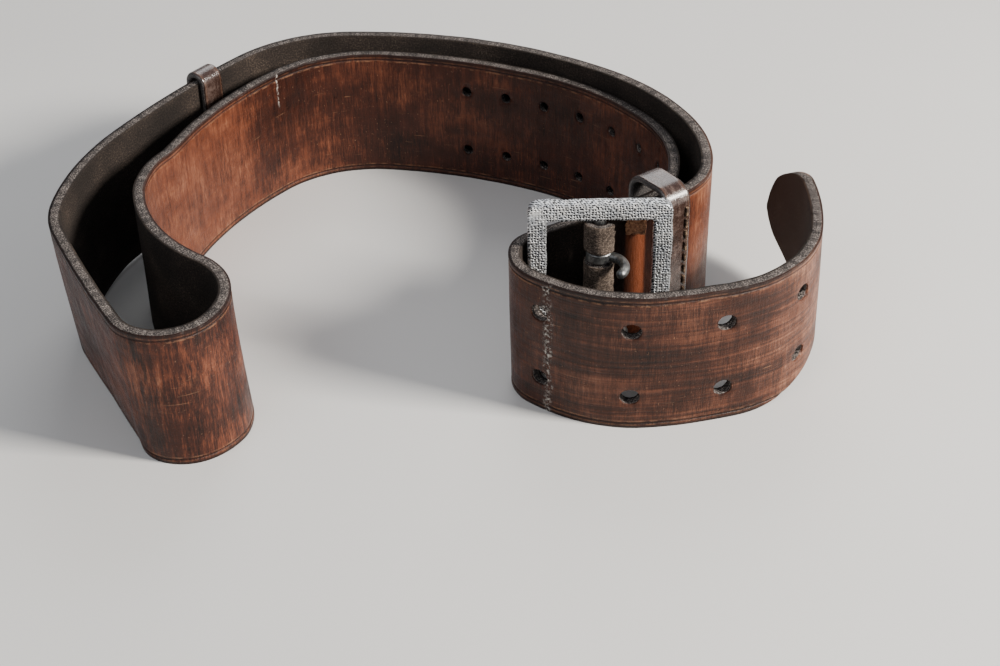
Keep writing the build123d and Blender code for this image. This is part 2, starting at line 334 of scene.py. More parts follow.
class Paint:
    """One material and the nodes in it."""

    def __init__(self, name):
        self.material = bpy.data.materials.new(name)
        self.material.use_nodes = True
        self.tree = self.material.node_tree
        self.shader = self.tree.nodes["Principled BSDF"]

    def node(self, kind, settings=None, inputs=None, output=0):
        made = self.tree.nodes.new(kind)
        for key, value in (settings or {}).items():
            if key == "stops":
                self.set_stops(made.color_ramp, value)
            else:
                setattr(made, key, value)
        for key, value in (inputs or {}).items():
            self.feed(made.inputs[key], value)
        return Value(self, made.outputs[output])

    def feed(self, socket, value):
        if isinstance(value, Value):
            self.tree.links.new(value.socket, socket)
        elif socket.type == "RGBA" and len(value) == 3:
            socket.default_value = (*value, 1)
        else:
            socket.default_value = value

    def set_stops(self, ramp, stops):
        while len(ramp.elements) < len(stops):
            ramp.elements.new(0.5)
        for element, (place, colour) in zip(ramp.elements, stops):
            element.position = place
            element.color = (*colour, 1)

    def mix(self, factor, first, second):
        """First colour where factor is 0, second where it is 1."""
        made = self.tree.nodes.new("ShaderNodeMix")
        made.data_type = "RGBA"
        colours = [socket for socket in made.inputs if socket.type == "RGBA"]
        self.feed(made.inputs[0], factor)
        self.feed(colours[0], first)
        self.feed(colours[1], second)
        return Value(self, next(socket for socket in made.outputs if socket.type == "RGBA"))

    def flat(self, x, y, z=0.0):
        return self.node("ShaderNodeCombineXYZ", None, {0: x, 1: y, 2: z})

    def parts(self, vector):
        made = self.node("ShaderNodeSeparateXYZ", None, {0: vector})
        return [Value(self, socket) for socket in made.socket.node.outputs]

    def object_place(self):
        """Object coordinates in millimetres."""
        place = self.node("ShaderNodeTexCoord", None, None, 3)
        return self.node(
            "ShaderNodeVectorMath", {"operation": "SCALE"}, {0: place, "Scale": 1 / MM}
        )

    def noise(self, vector, scale, detail=3.0, roughness=0.55):
        inputs = {"Vector": vector, "Scale": scale, "Detail": detail, "Roughness": roughness}
        return self.node("ShaderNodeTexNoise", None, inputs)

    def cells(self, vector, scale, randomness=1.0, dimensions="3D"):
        return self.node(
            "ShaderNodeTexVoronoi",
            {"voronoi_dimensions": dimensions},
            {"Vector": vector, "Scale": scale, "Randomness": randomness},
        )

    def bump(self, height, distance):
        return self.node("ShaderNodeBump", None, {"Height": height, "Distance": distance, "Strength": 1.0})

    def surface(self, **inputs):
        """Feed the shader; names use _ for a space."""
        for key, value in inputs.items():
            self.feed(self.shader.inputs[key.replace("_", " ").title().replace("Ior", "IOR")], value)
        return self.material


# Leather ---------------------------------------------------------------------------------------

RED_GRAIN = [
    (0.0, (0.009, 0.003, 0.002)), (0.38, (0.048, 0.013, 0.007)),
    (0.68, (0.155, 0.044, 0.020)), (1.0, (0.33, 0.135, 0.07)),
]
BROWN_GRAIN = [
    (0.0, (0.007, 0.003, 0.002)), (0.38, (0.044, 0.014, 0.007)),
    (0.66, (0.130, 0.048, 0.026)), (1.0, (0.36, 0.175, 0.105)),
]
FLESH_FIBRES = [
    (0.0, (0.010, 0.008, 0.007)), (0.45, (0.032, 0.024, 0.020)),
    (0.72, (0.080, 0.058, 0.044)), (1.0, (0.26, 0.20, 0.16)),
]
CUT_EDGE = [
    (0.0, (0.006, 0.006, 0.007)), (0.45, (0.036, 0.031, 0.030)),
    (0.68, (0.125, 0.105, 0.097)), (1.0, (0.46, 0.40, 0.36)),
]
POLISHED = [
    (0.0, (0.010, 0.006, 0.005)), (0.45, (0.042, 0.022, 0.017)),
    (0.72, (0.125, 0.084, 0.070)), (1.0, (0.38, 0.30, 0.25)),
]
GRAIN_DARK = (0.010, 0.004, 0.003)
# tan of rubbed flecks and scratches, also used for painted highlights beside the strap's creases
RUB_AND_HIGHLIGHT_TAN = (0.30, 0.15, 0.08)
# orange-brown of a painted sunlit strip on the chape
SUNLIT_STRIP_TONE = (0.27, 0.074, 0.030)
TIP_BROWN = (0.070, 0.028, 0.014)
DRIED = (0.70, 0.66, 0.60)
RAW_LEATHER = (0.66, 0.33, 0.18)


def band_places(paint):
    """Distance along a band, height across it and place through it (-1 grain, 1 flesh), in mm."""
    place = paint.node("ShaderNodeUVMap", {"uv_map": "band"})
    along, height, _ = paint.parts(place)
    through = paint.node("ShaderNodeAttribute", {"attribute_name": "through"}, None, 2)
    return along * (1 / MM), height * (1 / MM), through


def strap_leather(width):
    """Old harness leather: streaked grain face, fibrous flesh face, dyed edges."""
    paint = Paint("strap_leather")
    along, height, through = band_places(paint)
    edge = height.least(width - height)
    face = paint.flat(along, height)
    point = paint.flat(along, height, through * 2)
    grain_face = through.between(-0.55, -0.8)
    flesh_face = through.between(0.55, 0.8)

    # zones along the strap
    curl = along.between(940, 1000)
    # painted shade: the inner layer's middle is made a little darker
    inner = along.between(640, 700) * along.between(800, 740)
    # painted sunlight: the start of the inner layer is lightened
    lit_inner_start = along.between(555, 600) * along.between(680, 640)
    fold = along.between(340, 400) * along.between(560, 520)
    # painted shade: the chape behind the frame's right bar and beside the roll is darkened
    bar_shadow = along.between(16, 10)
    # painted sunlight: a lit strip of the chape seen through the buckle's right window
    sunlit_strip = along.between(0.4, 1.6) * along.between(8.5, 7.0)
    # painted sunlight: the outer strap past the fixed keeper is lightened
    sunlit_patch = along.between(22, 30) * along.between(95, 55)
    # painted sheen: the curl's right end is lightened
    curl_sheen = along.between(1045, 1075)
    tip = along.between(1070, 1120)

    # tone of the grain face: clouds, streaks across the strap, fine cracks and long creases; painted
    # sunlight on the outer strap past the fixed keeper, on the inner layer's start and on the curl's right
    # end, painted shade on the inner layer's middle, and darker over the curl's first stretch
    clouds = paint.noise(paint.flat(along * 0.6, height), 0.045, 3) - 0.5
    mottle = paint.noise(paint.flat(along, height * 0.6, 7.0), 0.22, 5, 0.7) - 0.5
    streak = paint.noise(paint.flat(along, height * 0.045), 0.55, 5, 0.75) - 0.5
    fine = paint.noise(paint.flat(along, height * 0.10, 3.0), 2.2, 4, 0.75) - 0.5
    wander = paint.noise(paint.flat(along * 0.05, height * 0.2), 0.5, 2) - 0.5
    crease = paint.noise(paint.flat(along * 0.016, height + wander * 5, 5.0), 0.75, 4, 0.65) - 0.5
    patch = paint.noise(paint.flat(along, height, 11.0), 0.07, 2).between(0.38, 0.62)
    tone = 0.40 + clouds * 1.1 + mottle * 0.55 + streak * (0.66 - curl * 0.26) + fine * (0.5 + patch * 0.7)
    tone = tone + crease * (0.15 + curl * 1.0) - inner * 0.04 + lit_inner_start * 0.22
    tone = tone + sunlit_patch * 0.34 + curl_sheen * 0.24 + fold * (streak + fine) * 0.5
    tone = tone - curl * along.between(1010, 985) * 0.14
    red = paint.node("ShaderNodeValToRGB", {"stops": RED_GRAIN}, {0: tone})
    brown = paint.node("ShaderNodeValToRGB", {"stops": BROWN_GRAIN}, {0: tone})
    base = paint.mix(curl * 0.75 + patch * 0.15, red, brown)

    # flecks and scratches
    fleck = paint.noise(paint.flat(along * 0.6, height * 0.35, 17.0), 2.6, 3, 0.6)
    flecks = fleck.between(0.66, 0.73)
    base = paint.mix(flecks * 0.6, base, RUB_AND_HIGHLIGHT_TAN)
    scratch = paint.noise(paint.flat(along * 0.05, height, 29.0), 1.7, 2, 0.5)
    scratches = scratch.between(0.70, 0.74) * patch
    base = paint.mix(scratches * 0.45, base, RUB_AND_HIGHLIGHT_TAN)

    # pressed crease beside each edge, a painted highlight on its shoulders, and the worn dye outside it
    rub = paint.noise(paint.flat(along, height, 23.0), 0.30, 5, 0.75)
    pressed = abs(edge - CREASE_IN).between(0.5, 0.1)
    base = paint.mix(pressed * 0.6, base, GRAIN_DARK)
    # painted highlight: tan lines along both shoulders of the crease, broken up with noise
    shoulder_highlight = abs(edge - 2.6).between(0.45, 0.1) + abs(edge - 1.2).between(0.4, 0.1) * 0.6
    base = paint.mix(shoulder_highlight * rub.between(0.42, 0.62) * 0.55, base, RUB_AND_HIGHLIGHT_TAN)
    base = paint.mix(edge.between(1.3, 0.5) * 0.8, base, GRAIN_DARK)
    stain = paint.noise(paint.flat(along * 0.9, height * 0.12, 41.0), 0.30, 4, 0.7)
    run_down = stain.between(0.54, 0.60) * fold * height.between(14, 40)
    base = paint.mix(run_down * 0.8, base, GRAIN_DARK)
    # painted shade on the chape behind the buckle
    base = paint.mix(bar_shadow * 0.85, base, GRAIN_DARK)
    # painted sunlight on a strip of the chape, inside the painted shade
    base = paint.mix(sunlit_strip * (0.65 + fine * 0.9), base, SUNLIT_STRIP_TONE)

    # dried white crease beside the first pair of holes, and a drip inside
    sway = paint.noise(paint.flat(height, 1.0), 0.16, 4, 0.7) - 0.5
    crumbs = paint.noise(point, 0.9, 5, 0.8)
    white_line = abs(along - 980.2 - sway * 5).between(2.1, 0.2)
    clumps = paint.noise(paint.flat(height, 4.0), 0.22, 3).between(0.40, 0.62)
    near_hole = abs(height - 36).between(10, 3)
    white = white_line * crumbs.between(0.51, 0.58) * (0.35 + clumps * 0.65).most(near_hole)
    drip = abs(along - 680.0 - sway * 2.0).between(0.6, 0.15) * height.between(35.0, 41.0)
    drip = drip * crumbs.between(0.47, 0.58)
    base = paint.mix((white * 0.9).most(drip * 0.7), base, DRIED)

    # flesh side and edges
    fibre = paint.noise(point, 1.5, 6, 0.8)
    worn = paint.noise(paint.flat(along, height, 31.0), 0.06, 3)
    roll = along.between(0, -4)
    flesh_tone = 0.38 + (fibre - 0.5) * 2.4 + (worn - 0.5) * 0.9 + roll * 0.36
    flesh = paint.node("ShaderNodeValToRGB", {"stops": FLESH_FIBRES}, {0: flesh_tone})
    flesh = paint.mix(tip * 0.6, flesh, TIP_BROWN)
    speck = paint.noise(point, 1.9, 5, 0.85)
    side_tone = 0.54 + (speck - 0.5) * 3.8 + (rub - 0.5) * 1.1
    side = paint.node("ShaderNodeValToRGB", {"stops": CUT_EDGE}, {0: side_tone})
    colour = paint.mix(grain_face, side, base)
    colour = paint.mix(flesh_face, colour, flesh)

    # relief
    pores = paint.cells(face, 1.5)
    relief = pores * 0.22 + streak * 0.9 + fine * 0.7 + crease * (0.3 + curl * 1.1) + mottle * 0.8
    relief = relief - pressed * 0.9 + white * 0.9 - flecks * 0.3
    rough_relief = fibre * 1.4 + speck * 1.2
    height_map = relief * grain_face + rough_relief * (1 - grain_face)
    roughness = 0.42 - mottle * 0.5 + fine * 0.5 + crease * 0.3 + white * 0.3
    roughness = roughness * grain_face + 0.88 * (1 - grain_face)
    return paint.surface(
        base_color=colour,
        roughness=roughness,
        specular_ior_level=0.26,
        normal=paint.bump(height_map, 0.24 * MM),
    )


def keeper_leather(length):
    """Polished dark leather with black cut edges."""
    paint = Paint("keeper_leather")
    along, height, through = band_places(paint)
    outer = through.between(-0.55, -0.85)
    edge = height.least(length - height)
    clouds = paint.noise(paint.flat(along, height), 0.20, 4, 0.65) - 0.5
    streak = paint.noise(paint.flat(along * 0.1, height, 3.0), 1.3, 4, 0.7) - 0.5
    scuff = paint.noise(paint.flat(along, height, 9.0), 0.9, 5, 0.75) - 0.5
    tone = 0.50 + clouds * 1.1 + streak * 0.6 + scuff * 0.6
    base = paint.node("ShaderNodeValToRGB", {"stops": POLISHED}, {0: tone})
    base = paint.mix(abs(edge - 1.1).between(0.5, 0.1) * 0.15, base, RUB_AND_HIGHLIGHT_TAN)
    base = paint.mix(edge.between(0.9, 0.3) * 0.8, base, GRAIN_DARK)
    speck = paint.noise(paint.flat(along, height, through), 2.0, 4, 0.8)
    side = paint.node("ShaderNodeValToRGB", {"stops": CUT_EDGE}, {0: 0.40 + (speck - 0.5) * 2.5})
    pores = paint.cells(paint.flat(along, height), 1.8)
    relief = (pores * 0.15 + streak * 0.5 + scuff * 0.7) * outer + speck * (1 - outer)
    return paint.surface(
        base_color=paint.mix(outer, side, base),
        roughness=(0.24 + scuff * 0.5) * outer + 0.8 * (1 - outer),
        specular_ior_level=0.7,
        coat_weight=0.5,
        coat_roughness=0.2,
        normal=paint.bump(relief, 0.15 * MM),
    )


def cast_metal():
    """Pale cast metal with small pressed pits, rubbed smooth in places."""
    paint = Paint("cast_metal")
    place = paint.object_place()
    wobble = paint.noise(place, 0.35, 2)
    x, y, z = paint.parts(place)
    drift = paint.noise(place, 0.8, 3) - 0.5
    pit = paint.cells(paint.flat(x + y * 0.5 + drift * 0.5, z + y * 0.87 - drift * 0.4), 1.05, 0.5, "2D")
    worn = paint.noise(place, 0.16, 4, 0.65)
    kept = worn.between(0.70, 0.54)
    pits = pit.between(0.47, 0.26) * (0.15 + kept * 0.85)
    grime = paint.noise(place, 0.45, 4, 0.7)
    base = paint.mix(wobble.between(0.3, 0.7), (0.74, 0.77, 0.81), (0.97, 0.97, 0.96))
    base = paint.mix(grime.between(0.52, 0.74) * 0.5, base, (0.24, 0.26, 0.30))
    base = paint.mix(pits, base, (0.020, 0.021, 0.025))
    scratches = paint.noise(place, 3.5, 4, 0.8)
    relief = wobble * 0.8 + scratches * 0.15 - pits * 0.9
    return paint.surface(
        base_color=base,
        metallic=0.8 - pits * 0.6,
        roughness=0.36 + grime * 0.15 + pits * 0.4,
        normal=paint.bump(relief, 0.25 * MM),
    )


def worn_steel():
    """Dark grey steel, rubbed bright in places."""
    paint = Paint("worn_steel")
    place = paint.object_place()
    tarnish = paint.noise(place, 0.30, 4, 0.65)
    fine = paint.noise(place, 2.2, 5, 0.75)
    base = paint.mix(tarnish.between(0.35, 0.65), (0.10, 0.105, 0.11), (0.42, 0.42, 0.41))
    base = paint.mix(fine.between(0.58, 0.75) * 0.5, base, (0.05, 0.048, 0.045))
    return paint.surface(
        base_color=base,
        metallic=0.9,
        roughness=0.28 + fine * 0.22,
        normal=paint.bump(tarnish * 0.6 + fine * 0.4, 0.18 * MM),
    )


def waxed_thread():
    """Fuzzy tan thread with a twist."""
    paint = Paint("waxed_thread")
    place = paint.object_place()
    x, _, z = paint.parts(place)
    strands = paint.node("ShaderNodeMath", {"operation": "SINE"}, {0: (z + x * 1.5) * 9.0})
    fuzz = paint.noise(place, 4.0, 4, 0.8)
    sound = paint.noise(paint.flat(0.0, 0.0, z), 0.35, 3, 0.7)
    base = paint.mix(fuzz.between(0.35, 0.7), (0.12, 0.060, 0.032), (0.55, 0.38, 0.24))
    base = paint.mix(sound.between(0.56, 0.46) * 0.85, base, (0.030, 0.014, 0.009))
    return paint.surface(
        base_color=base,
        roughness=0.75 + fuzz * 0.2,
        normal=paint.bump(strands * 0.5 + fuzz * 0.5, 0.12 * MM),
    )


def torn_leather():
    """Raw, torn leather fibres."""
    paint = Paint("torn_leather")
    place = paint.object_place()
    fibre = paint.noise(place, 1.4, 5, 0.8)
    soil = paint.noise(place, 0.4, 3)
    base = paint.mix(fibre.between(0.35, 0.65), (0.20, 0.075, 0.03), RAW_LEATHER)
    base = paint.mix(soil.between(0.55, 0.75) * 0.7, base, (0.06, 0.03, 0.02))
    return paint.surface(
        base_color=base, roughness=0.8 + fibre * 0.15, normal=paint.bump(fibre, 0.4 * MM)
    )


def pale_floor():
    """Plain pale ground."""
    paint = Paint("pale_floor")
    place = paint.object_place()
    tone = paint.noise(place, 0.01, 2)
    base = paint.mix(tone, (0.80, 0.79, 0.77), (0.84, 0.83, 0.81))
    return paint.surface(base_color=base, roughness=0.75 + tone * 0.1)


# Flat bands of leather -------------------------------------------------------------------------


def row_heights(width, count):
    """Heights of a band's rows: close beside the edges, even between them."""
    close = [0.0, 0.9, 1.5, 1.9, 2.3, 3.1]
    middle = count + 1 - 2 * len(close)
    first, last = close[-1], width - close[-1]
    gap = (last - first) / (middle + 1)
    inner = [first + gap * (i + 1) for i in range(middle)]
    return close + inner + [width - h for h in reversed(close)]


def flat_grid(name, length, width, columns, rows):
    """Upright flat grid along X, from 0 to its length, and from 0 to its width in height, in m."""
    clear_selection()
    bpy.ops.mesh.primitive_grid_add(
        x_subdivisions=columns, y_subdivisions=rows, size=1, location=(0.5, 0, 0.5), rotation=(pi / 2, 0, 0)
    )
    grid = named(name)
    fix_place()
    for vertex in grid.data.vertices:
        vertex.co.x *= length
        vertex.co.z *= width
    return grid


def punch(piece, holes):
    """Punch round holes in a flat grid: (distance, height, radius, stretch) each, in m."""
    mesh = bmesh.new()
    mesh.from_mesh(piece.data)
    for at, height, radius, stretch in holes:
        centre = Vector((at, 0, height))
        near = []
        for face in mesh.faces:
            middle = face.calc_center_median()
            if hypot((middle.x - at) / stretch, middle.z - height) < radius:
                near.append(face)
        bmesh.ops.delete(mesh, geom=near, context="FACES")
        for vertex in mesh.verts:
            offset = vertex.co - centre
            if vertex.is_boundary and offset.length < radius * 1.6 * stretch:
                angle = atan2(offset.z, offset.x / stretch)
                vertex.co.x = at + radius * stretch * cos(angle)
                vertex.co.z = height + radius * sin(angle)
    mesh.to_mesh(piece.data)
    mesh.free()


def mark_band(piece, thickness):
    """Keep a flat band's own coordinates: a UV map along and up it, and its place through it."""
    mesh = piece.data
    through = mesh.attributes.new("through", "FLOAT", "POINT")
    for vertex, value in zip(mesh.vertices, through.data):
        value.value = vertex.co.y / (thickness / 2)
    layer = mesh.uv_layers.get("band") or mesh.uv_layers.new(name="band")
    for loop in mesh.loops:
        place = mesh.vertices[loop.vertex_index].co
        layer.data[loop.index].uv = (place.x, place.z)
    for other in [uv.name for uv in mesh.uv_layers if uv.name != "band"]:
        mesh.uv_layers.remove(mesh.uv_layers[other])


# Settings --------------------------------------------------------------------------------------


class StrapSettings(bpy.types.PropertyGroup):
    """Sizes of the strap."""

    width: FloatProperty(name="Width", description="Strap width", default=0.05, unit="LENGTH")
    thickness: FloatProperty(
        name="Thickness", description="Leather thickness", default=0.004, unit="LENGTH"
    )
    skived: FloatProperty(
        name="Skived", description="Thickness of the chape", default=0.0024, unit="LENGTH"
    )
    edge_round: FloatProperty(
        name="Edge round", description="Rounding of the cut edges", default=0.0008, unit="LENGTH"
    )
    tip_rise: FloatProperty(
        name="Tip rise", description="Rise of the lower edge towards the tip", default=0.009, unit="LENGTH"
    )
    column: FloatProperty(
        name="Column", description="Grid step along the strap", default=0.00135, unit="LENGTH"
    )
    rows: IntProperty(name="Rows", description="Grid rows across the strap", default=36)


class BuckleSettings(bpy.types.PropertyGroup):
    """Sizes of the buckle's details."""

    bar: FloatProperty(
        name="Bar", description="Thickness of the frame's bars", default=0.0062, unit="LENGTH"
    )
    corner: FloatProperty(name="Corner", description="Outer corner radius", default=0.0032, unit="LENGTH")
    rounding: FloatProperty(
        name="Rounding", description="Rounding of the bars", default=0.0021, unit="LENGTH"
    )
    unevenness: FloatProperty(
        name="Unevenness", description="Depth of the casting's waves", default=0.00045, unit="LENGTH"
    )


class KeeperSettings(bpy.types.PropertyGroup):
    """Sizes of the keepers."""

    length: FloatProperty(name="Length", description="Length along the strap", default=0.01, unit="LENGTH")
    wall: FloatProperty(name="Wall", description="Leather thickness", default=0.0022, unit="LENGTH")
    edge_round: FloatProperty(
        name="Edge round", description="Rounding of the edges", default=0.0008, unit="LENGTH"
    )


class StageSettings(bpy.types.PropertyGroup):
    """Camera, floor and lights."""

    target: FloatVectorProperty(
        name="Target",
        description="Point that the camera looks at",
        default=(0.0208, -0.0289, 0.0),
        subtype="XYZ",
        unit="LENGTH",
    )
    distance: FloatProperty(
        name="Distance", description="Camera distance from its target", default=0.6219, unit="LENGTH"
    )
    pitch: FloatProperty(
        name="Pitch", description="Camera's downward tilt", default=radians(35), subtype="ANGLE"
    )
    roll: FloatProperty(
        name="Roll", description="Camera's turn about its view", default=radians(-1), subtype="ANGLE"
    )
    lens: FloatProperty(name="Lens", description="Focal length in millimetres", default=64.8)
    floor_size: FloatProperty(
        name="Floor size", description="Side of the floor", default=6.0, unit="LENGTH"
    )


# Strap -----------------------------------------------------------------------------------------


class BELT_OT_strap(bpy.types.Operator):
    """Model the strap flat, punch it, trim its tip, and bend it along its line"""

    bl_idname = "belt.strap"
    bl_label = "Strap"

    def execute(self, context):
        sizes = context.scene.belt_strap
        line, zero = strap_line(radius=3.9 * MM, wrap=225, step=1.2)
        length = (zero + sum(arc for arc, _ in CENTRE_LINE)) * MM
        columns = round(length / sizes.column)
        strap = flat_grid("strap", length, sizes.width, columns, sizes.rows)
        self.space_rows(strap, sizes)
        punch(strap, self.holes(zero))
        self.cut_slots(strap, zero)
        self.trim_tip(strap, length, sizes)
        modify(strap, "SOLIDIFY", thickness=sizes.thickness, offset=0, use_even_offset=True)
        modify(
            strap, "BEVEL", width=sizes.edge_round, segments=2, limit_method="ANGLE",
            angle_limit=radians(50), harden_normals=False,
        )
        mark_band(strap, sizes.thickness)
        self.zero_marks(strap, zero)
        self.shape(strap, zero, sizes)
        bend_along(strap, line)
        tidy_normals(strap)
        smooth(strap, 50)
        replaced = [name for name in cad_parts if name.startswith("strap_")]
        finish_piece(
            strap, "belt", "strap_leather", strap_leather(sizes.width / MM), *sorted(replaced), "chape_roll"
        )
        return {"FINISHED"}

    def space_rows(self, strap, sizes):
        """Bring the rows beside the edges close together."""
        heights = row_heights(sizes.width / MM, sizes.rows)
        for vertex in strap.data.vertices:
            row = round(vertex.co.z / sizes.width * sizes.rows)
            vertex.co.z = heights[row] * MM

    def holes(self, zero):
        rows = (LOWER_ROW, UPPER_ROW)
        found = [(at, row, ADJUSTING_RADIUS, ADJUSTING_STRETCH) for at in ADJUSTING_HOLES for row in rows]
        found += [(at, row, SIZING_RADIUS, 1.0) for at in SIZING_HOLES for row in rows]
        return [((at + zero) * MM, row * MM, radius * MM, stretch) for at, row, radius, stretch in found]

    def cut_slots(self, strap, zero):
        """Cut the slots that the prongs turn in, open at the chape's torn end."""
        mesh = bmesh.new()
        mesh.from_mesh(strap.data)
        reach = (zero - SLOT_MARGIN) * MM
        near = []
        for face in mesh.faces:
            centre = face.calc_center_median()
            for row in (LOWER_ROW, UPPER_ROW):
                if centre.x < reach and abs(centre.z - row * MM) < SLOT_HALF * MM:
                    near.append(face)
        bmesh.ops.delete(mesh, geom=near, context="FACES")
        mesh.to_mesh(strap.data)
        mesh.free()

    def trim_tip(self, strap, length, sizes):
        """Raise the lower edge towards the tip, and draw the last stretch in to a rounded point."""
        half = sizes.width / 2
        reach, nose = TIP_REACH * MM, TIP_NOSE * MM
        for vertex in strap.data.vertices:
            left = length - vertex.co.x
            low = 1 - vertex.co.z / sizes.width
            vertex.co.z += sizes.tip_rise * ease(left / MM, RISE_START, RISE_FULL) * low ** 3
            if left < reach:
                t = 1 - left / reach
                share = 1 - 0.52 * t ** 1.5 - 0.16 * t ** 5
                if left < nose:
                    share *= max(0.12, sqrt(max(0.0, 1 - (1 - left / nose) ** 2)))
                vertex.co.z = half + (vertex.co.z - half) * share

    def zero_marks(self, strap, zero):
        """Count distances from the strap's own start."""
        for corner in strap.data.uv_layers["band"].data:
            corner.uv.x -= zero * MM

    def shape(self, strap, zero, sizes):
        """Skive the chape, press the creases, lift and lean the strap, and let it wave a little."""
        half = sizes.thickness / 2
        for vertex in strap.data.vertices:
            place = vertex.co
            distance = place.x / MM - zero
            through = place.y / half
            edge = min(place.z, sizes.width - place.z) / MM
            thin = 1 - (1 - sizes.skived / sizes.thickness) * ease(distance, 3, -7)
            if through < -0.6:
                place.y += CREASE_DEPTH * MM * ease(abs(edge - CREASE_IN), 0.6, 0.0)
            place.y *= thin
            wave = noise.noise(Vector((distance * 0.02, place.z / MM * 0.03, 2.0)))
            ripple = noise.noise(Vector((distance * 0.11, 4.0, place.z / MM * 0.02)))
            share = max(place.z, 0.0) / sizes.width
            quiet = ease(distance, 20, 60) * (1 - ease(abs(distance - RUN_MIDDLE), RUN_END, RUN_FLAT))
            place.y += (wave * WAVE + ripple * RIPPLE) * MM * quiet
            place.y -= along_table(LEANS, distance) * share ** 1.5 * MM
            place.y += along_table(FEET, distance) * max(0.0, 1 - share) ** 1.3 * MM
            place.z += along_table(LIFTS, distance) * MM
            place.z += ripple * TOP_RIPPLE * MM * quiet * (share if place.z > half else 0)
            if distance < -zero + 1.5:
                torn = noise.noise(Vector((place.z / MM * 0.9, 8.0, 1.0)))
                place.x += torn * TORN_DEPTH * MM


# Keepers ---------------------------------------------------------------------------------------


def loop_points(half_width, half_height, top_corner, foot_corner, step):
    """Closed outline of a keeper's middle line, from the middle of its foot, anticlockwise."""
    corners = [
        (half_width - foot_corner, -half_height + foot_corner, foot_corner, -90),
        (half_width - top_corner, half_height - top_corner, top_corner, 0),
        (-half_width + top_corner, half_height - top_corner, top_corner, 90),
        (-half_width + foot_corner, -half_height + foot_corner, foot_corner, 180),
    ]
    points = [Vector((0.0, -half_height))]
    for x, y, radius, first in corners:
        for i in range(9):
            points.append(Vector((x, y)) + turned(first + 90 * i / 8) * radius)
    points.append(points[0])
    dense = [points[0]]
    for a, b in zip(points, points[1:]):
        count = max(1, round((b - a).length / step))
        dense += [a.lerp(b, (i + 1) / count) for i in range(count)]
    return dense


def keeper_piece(name, node, at, corner, sizes, waves):
    """Leather loop bent to a keeper's outline, upright across the strap at a distance along it."""
    point, heading = station(at)
    low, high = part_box(node)
    across = turned(heading + 90)
    along = turned(heading)
    # the box of a turned block: width across, and length along, the strap
    spread_x, spread_y = high.x - low.x, high.y - low.y
    c, s = abs(along.x), abs(along.y)
    span = (spread_x - c * sizes.length) / s if s > c else (spread_y - s * sizes.length) / c
    middle = ((low + high) / 2).to_2d() - point
    shift = middle.dot(across)
    half_width = (span - sizes.wall) / 2
    half_height = (high.z - low.z - sizes.wall) / 2
    points = loop_points(half_width, half_height, corner, 1.9 * MM, 0.6 * MM)
    length = sum((b - a).length for a, b in zip(points, points[1:]))
    band = flat_grid(name, length, sizes.length, round(length / (0.8 * MM)), 10)
    modify(band, "SOLIDIFY", thickness=sizes.wall, offset=0)
    modify(
        band, "BEVEL", width=sizes.edge_round, segments=2, limit_method="ANGLE", angle_limit=radians(50)
    )
    mark_band(band, sizes.wall)
    for vertex in band.data.vertices:
        place = vertex.co
        edge = noise.noise(Vector((place.x / MM * 0.12, waves, 0)))
        side = (place.z / sizes.length - 0.5) * 2
        place.z += side * edge * 0.25 * MM
    bend_along(band, line_object(name + "_line", points))
    take(band)
    upright = Matrix((
        (across.x, 0, along.x, 0),
        (across.y, 0, along.y, 0),
        (0, 1, 0, 0),
        (0, 0, 0, 1),
    ))
    shift_out = Matrix.Translation((
        point.x + across.x * shift - along.x * sizes.length / 2,
        point.y + across.y * shift - along.y * sizes.length / 2,
        (low.z + high.z) / 2,
    ))
    band.data.transform(shift_out @ upright)
    tidy_normals(band)
    smooth(band, 50)
    return band


class BELT_OT_fixed_keeper(bpy.types.Operator):
    """Bend the stitched keeper behind the buckle"""

    bl_idname = "belt.fixed_keeper"
    bl_label = "Fixed keeper"

    def execute(self, context):
        sizes = context.scene.belt_keeper
        keeper = keeper_piece("keeper_fixed", "fixed_keeper", FIXED_KEEPER_AT, 5.4 * MM, sizes, 1.0)
        finish_piece(keeper, "belt", "keeper_leather", keeper_leather(sizes.length / MM), "fixed_keeper")
        return {"FINISHED"}


class BELT_OT_sliding_keeper(bpy.types.Operator):
    """Bend the keeper that slides on the outer layer"""

    bl_idname = "belt.sliding_keeper"
    bl_label = "Sliding keeper"

    def execute(self, context):
        sizes = context.scene.belt_keeper
        keeper = keeper_piece(
            "keeper_sliding", "sliding_keeper", SLIDING_KEEPER_AT, 3.3 * MM, sizes, 5.0
        )
        leather = keeper_leather(sizes.length / MM)
        finish_piece(keeper, "sliding_keeper", "keeper_leather", leather, "sliding_keeper")
        return {"FINISHED"}


# Buckle ----------------------------------------------------------------------------------------


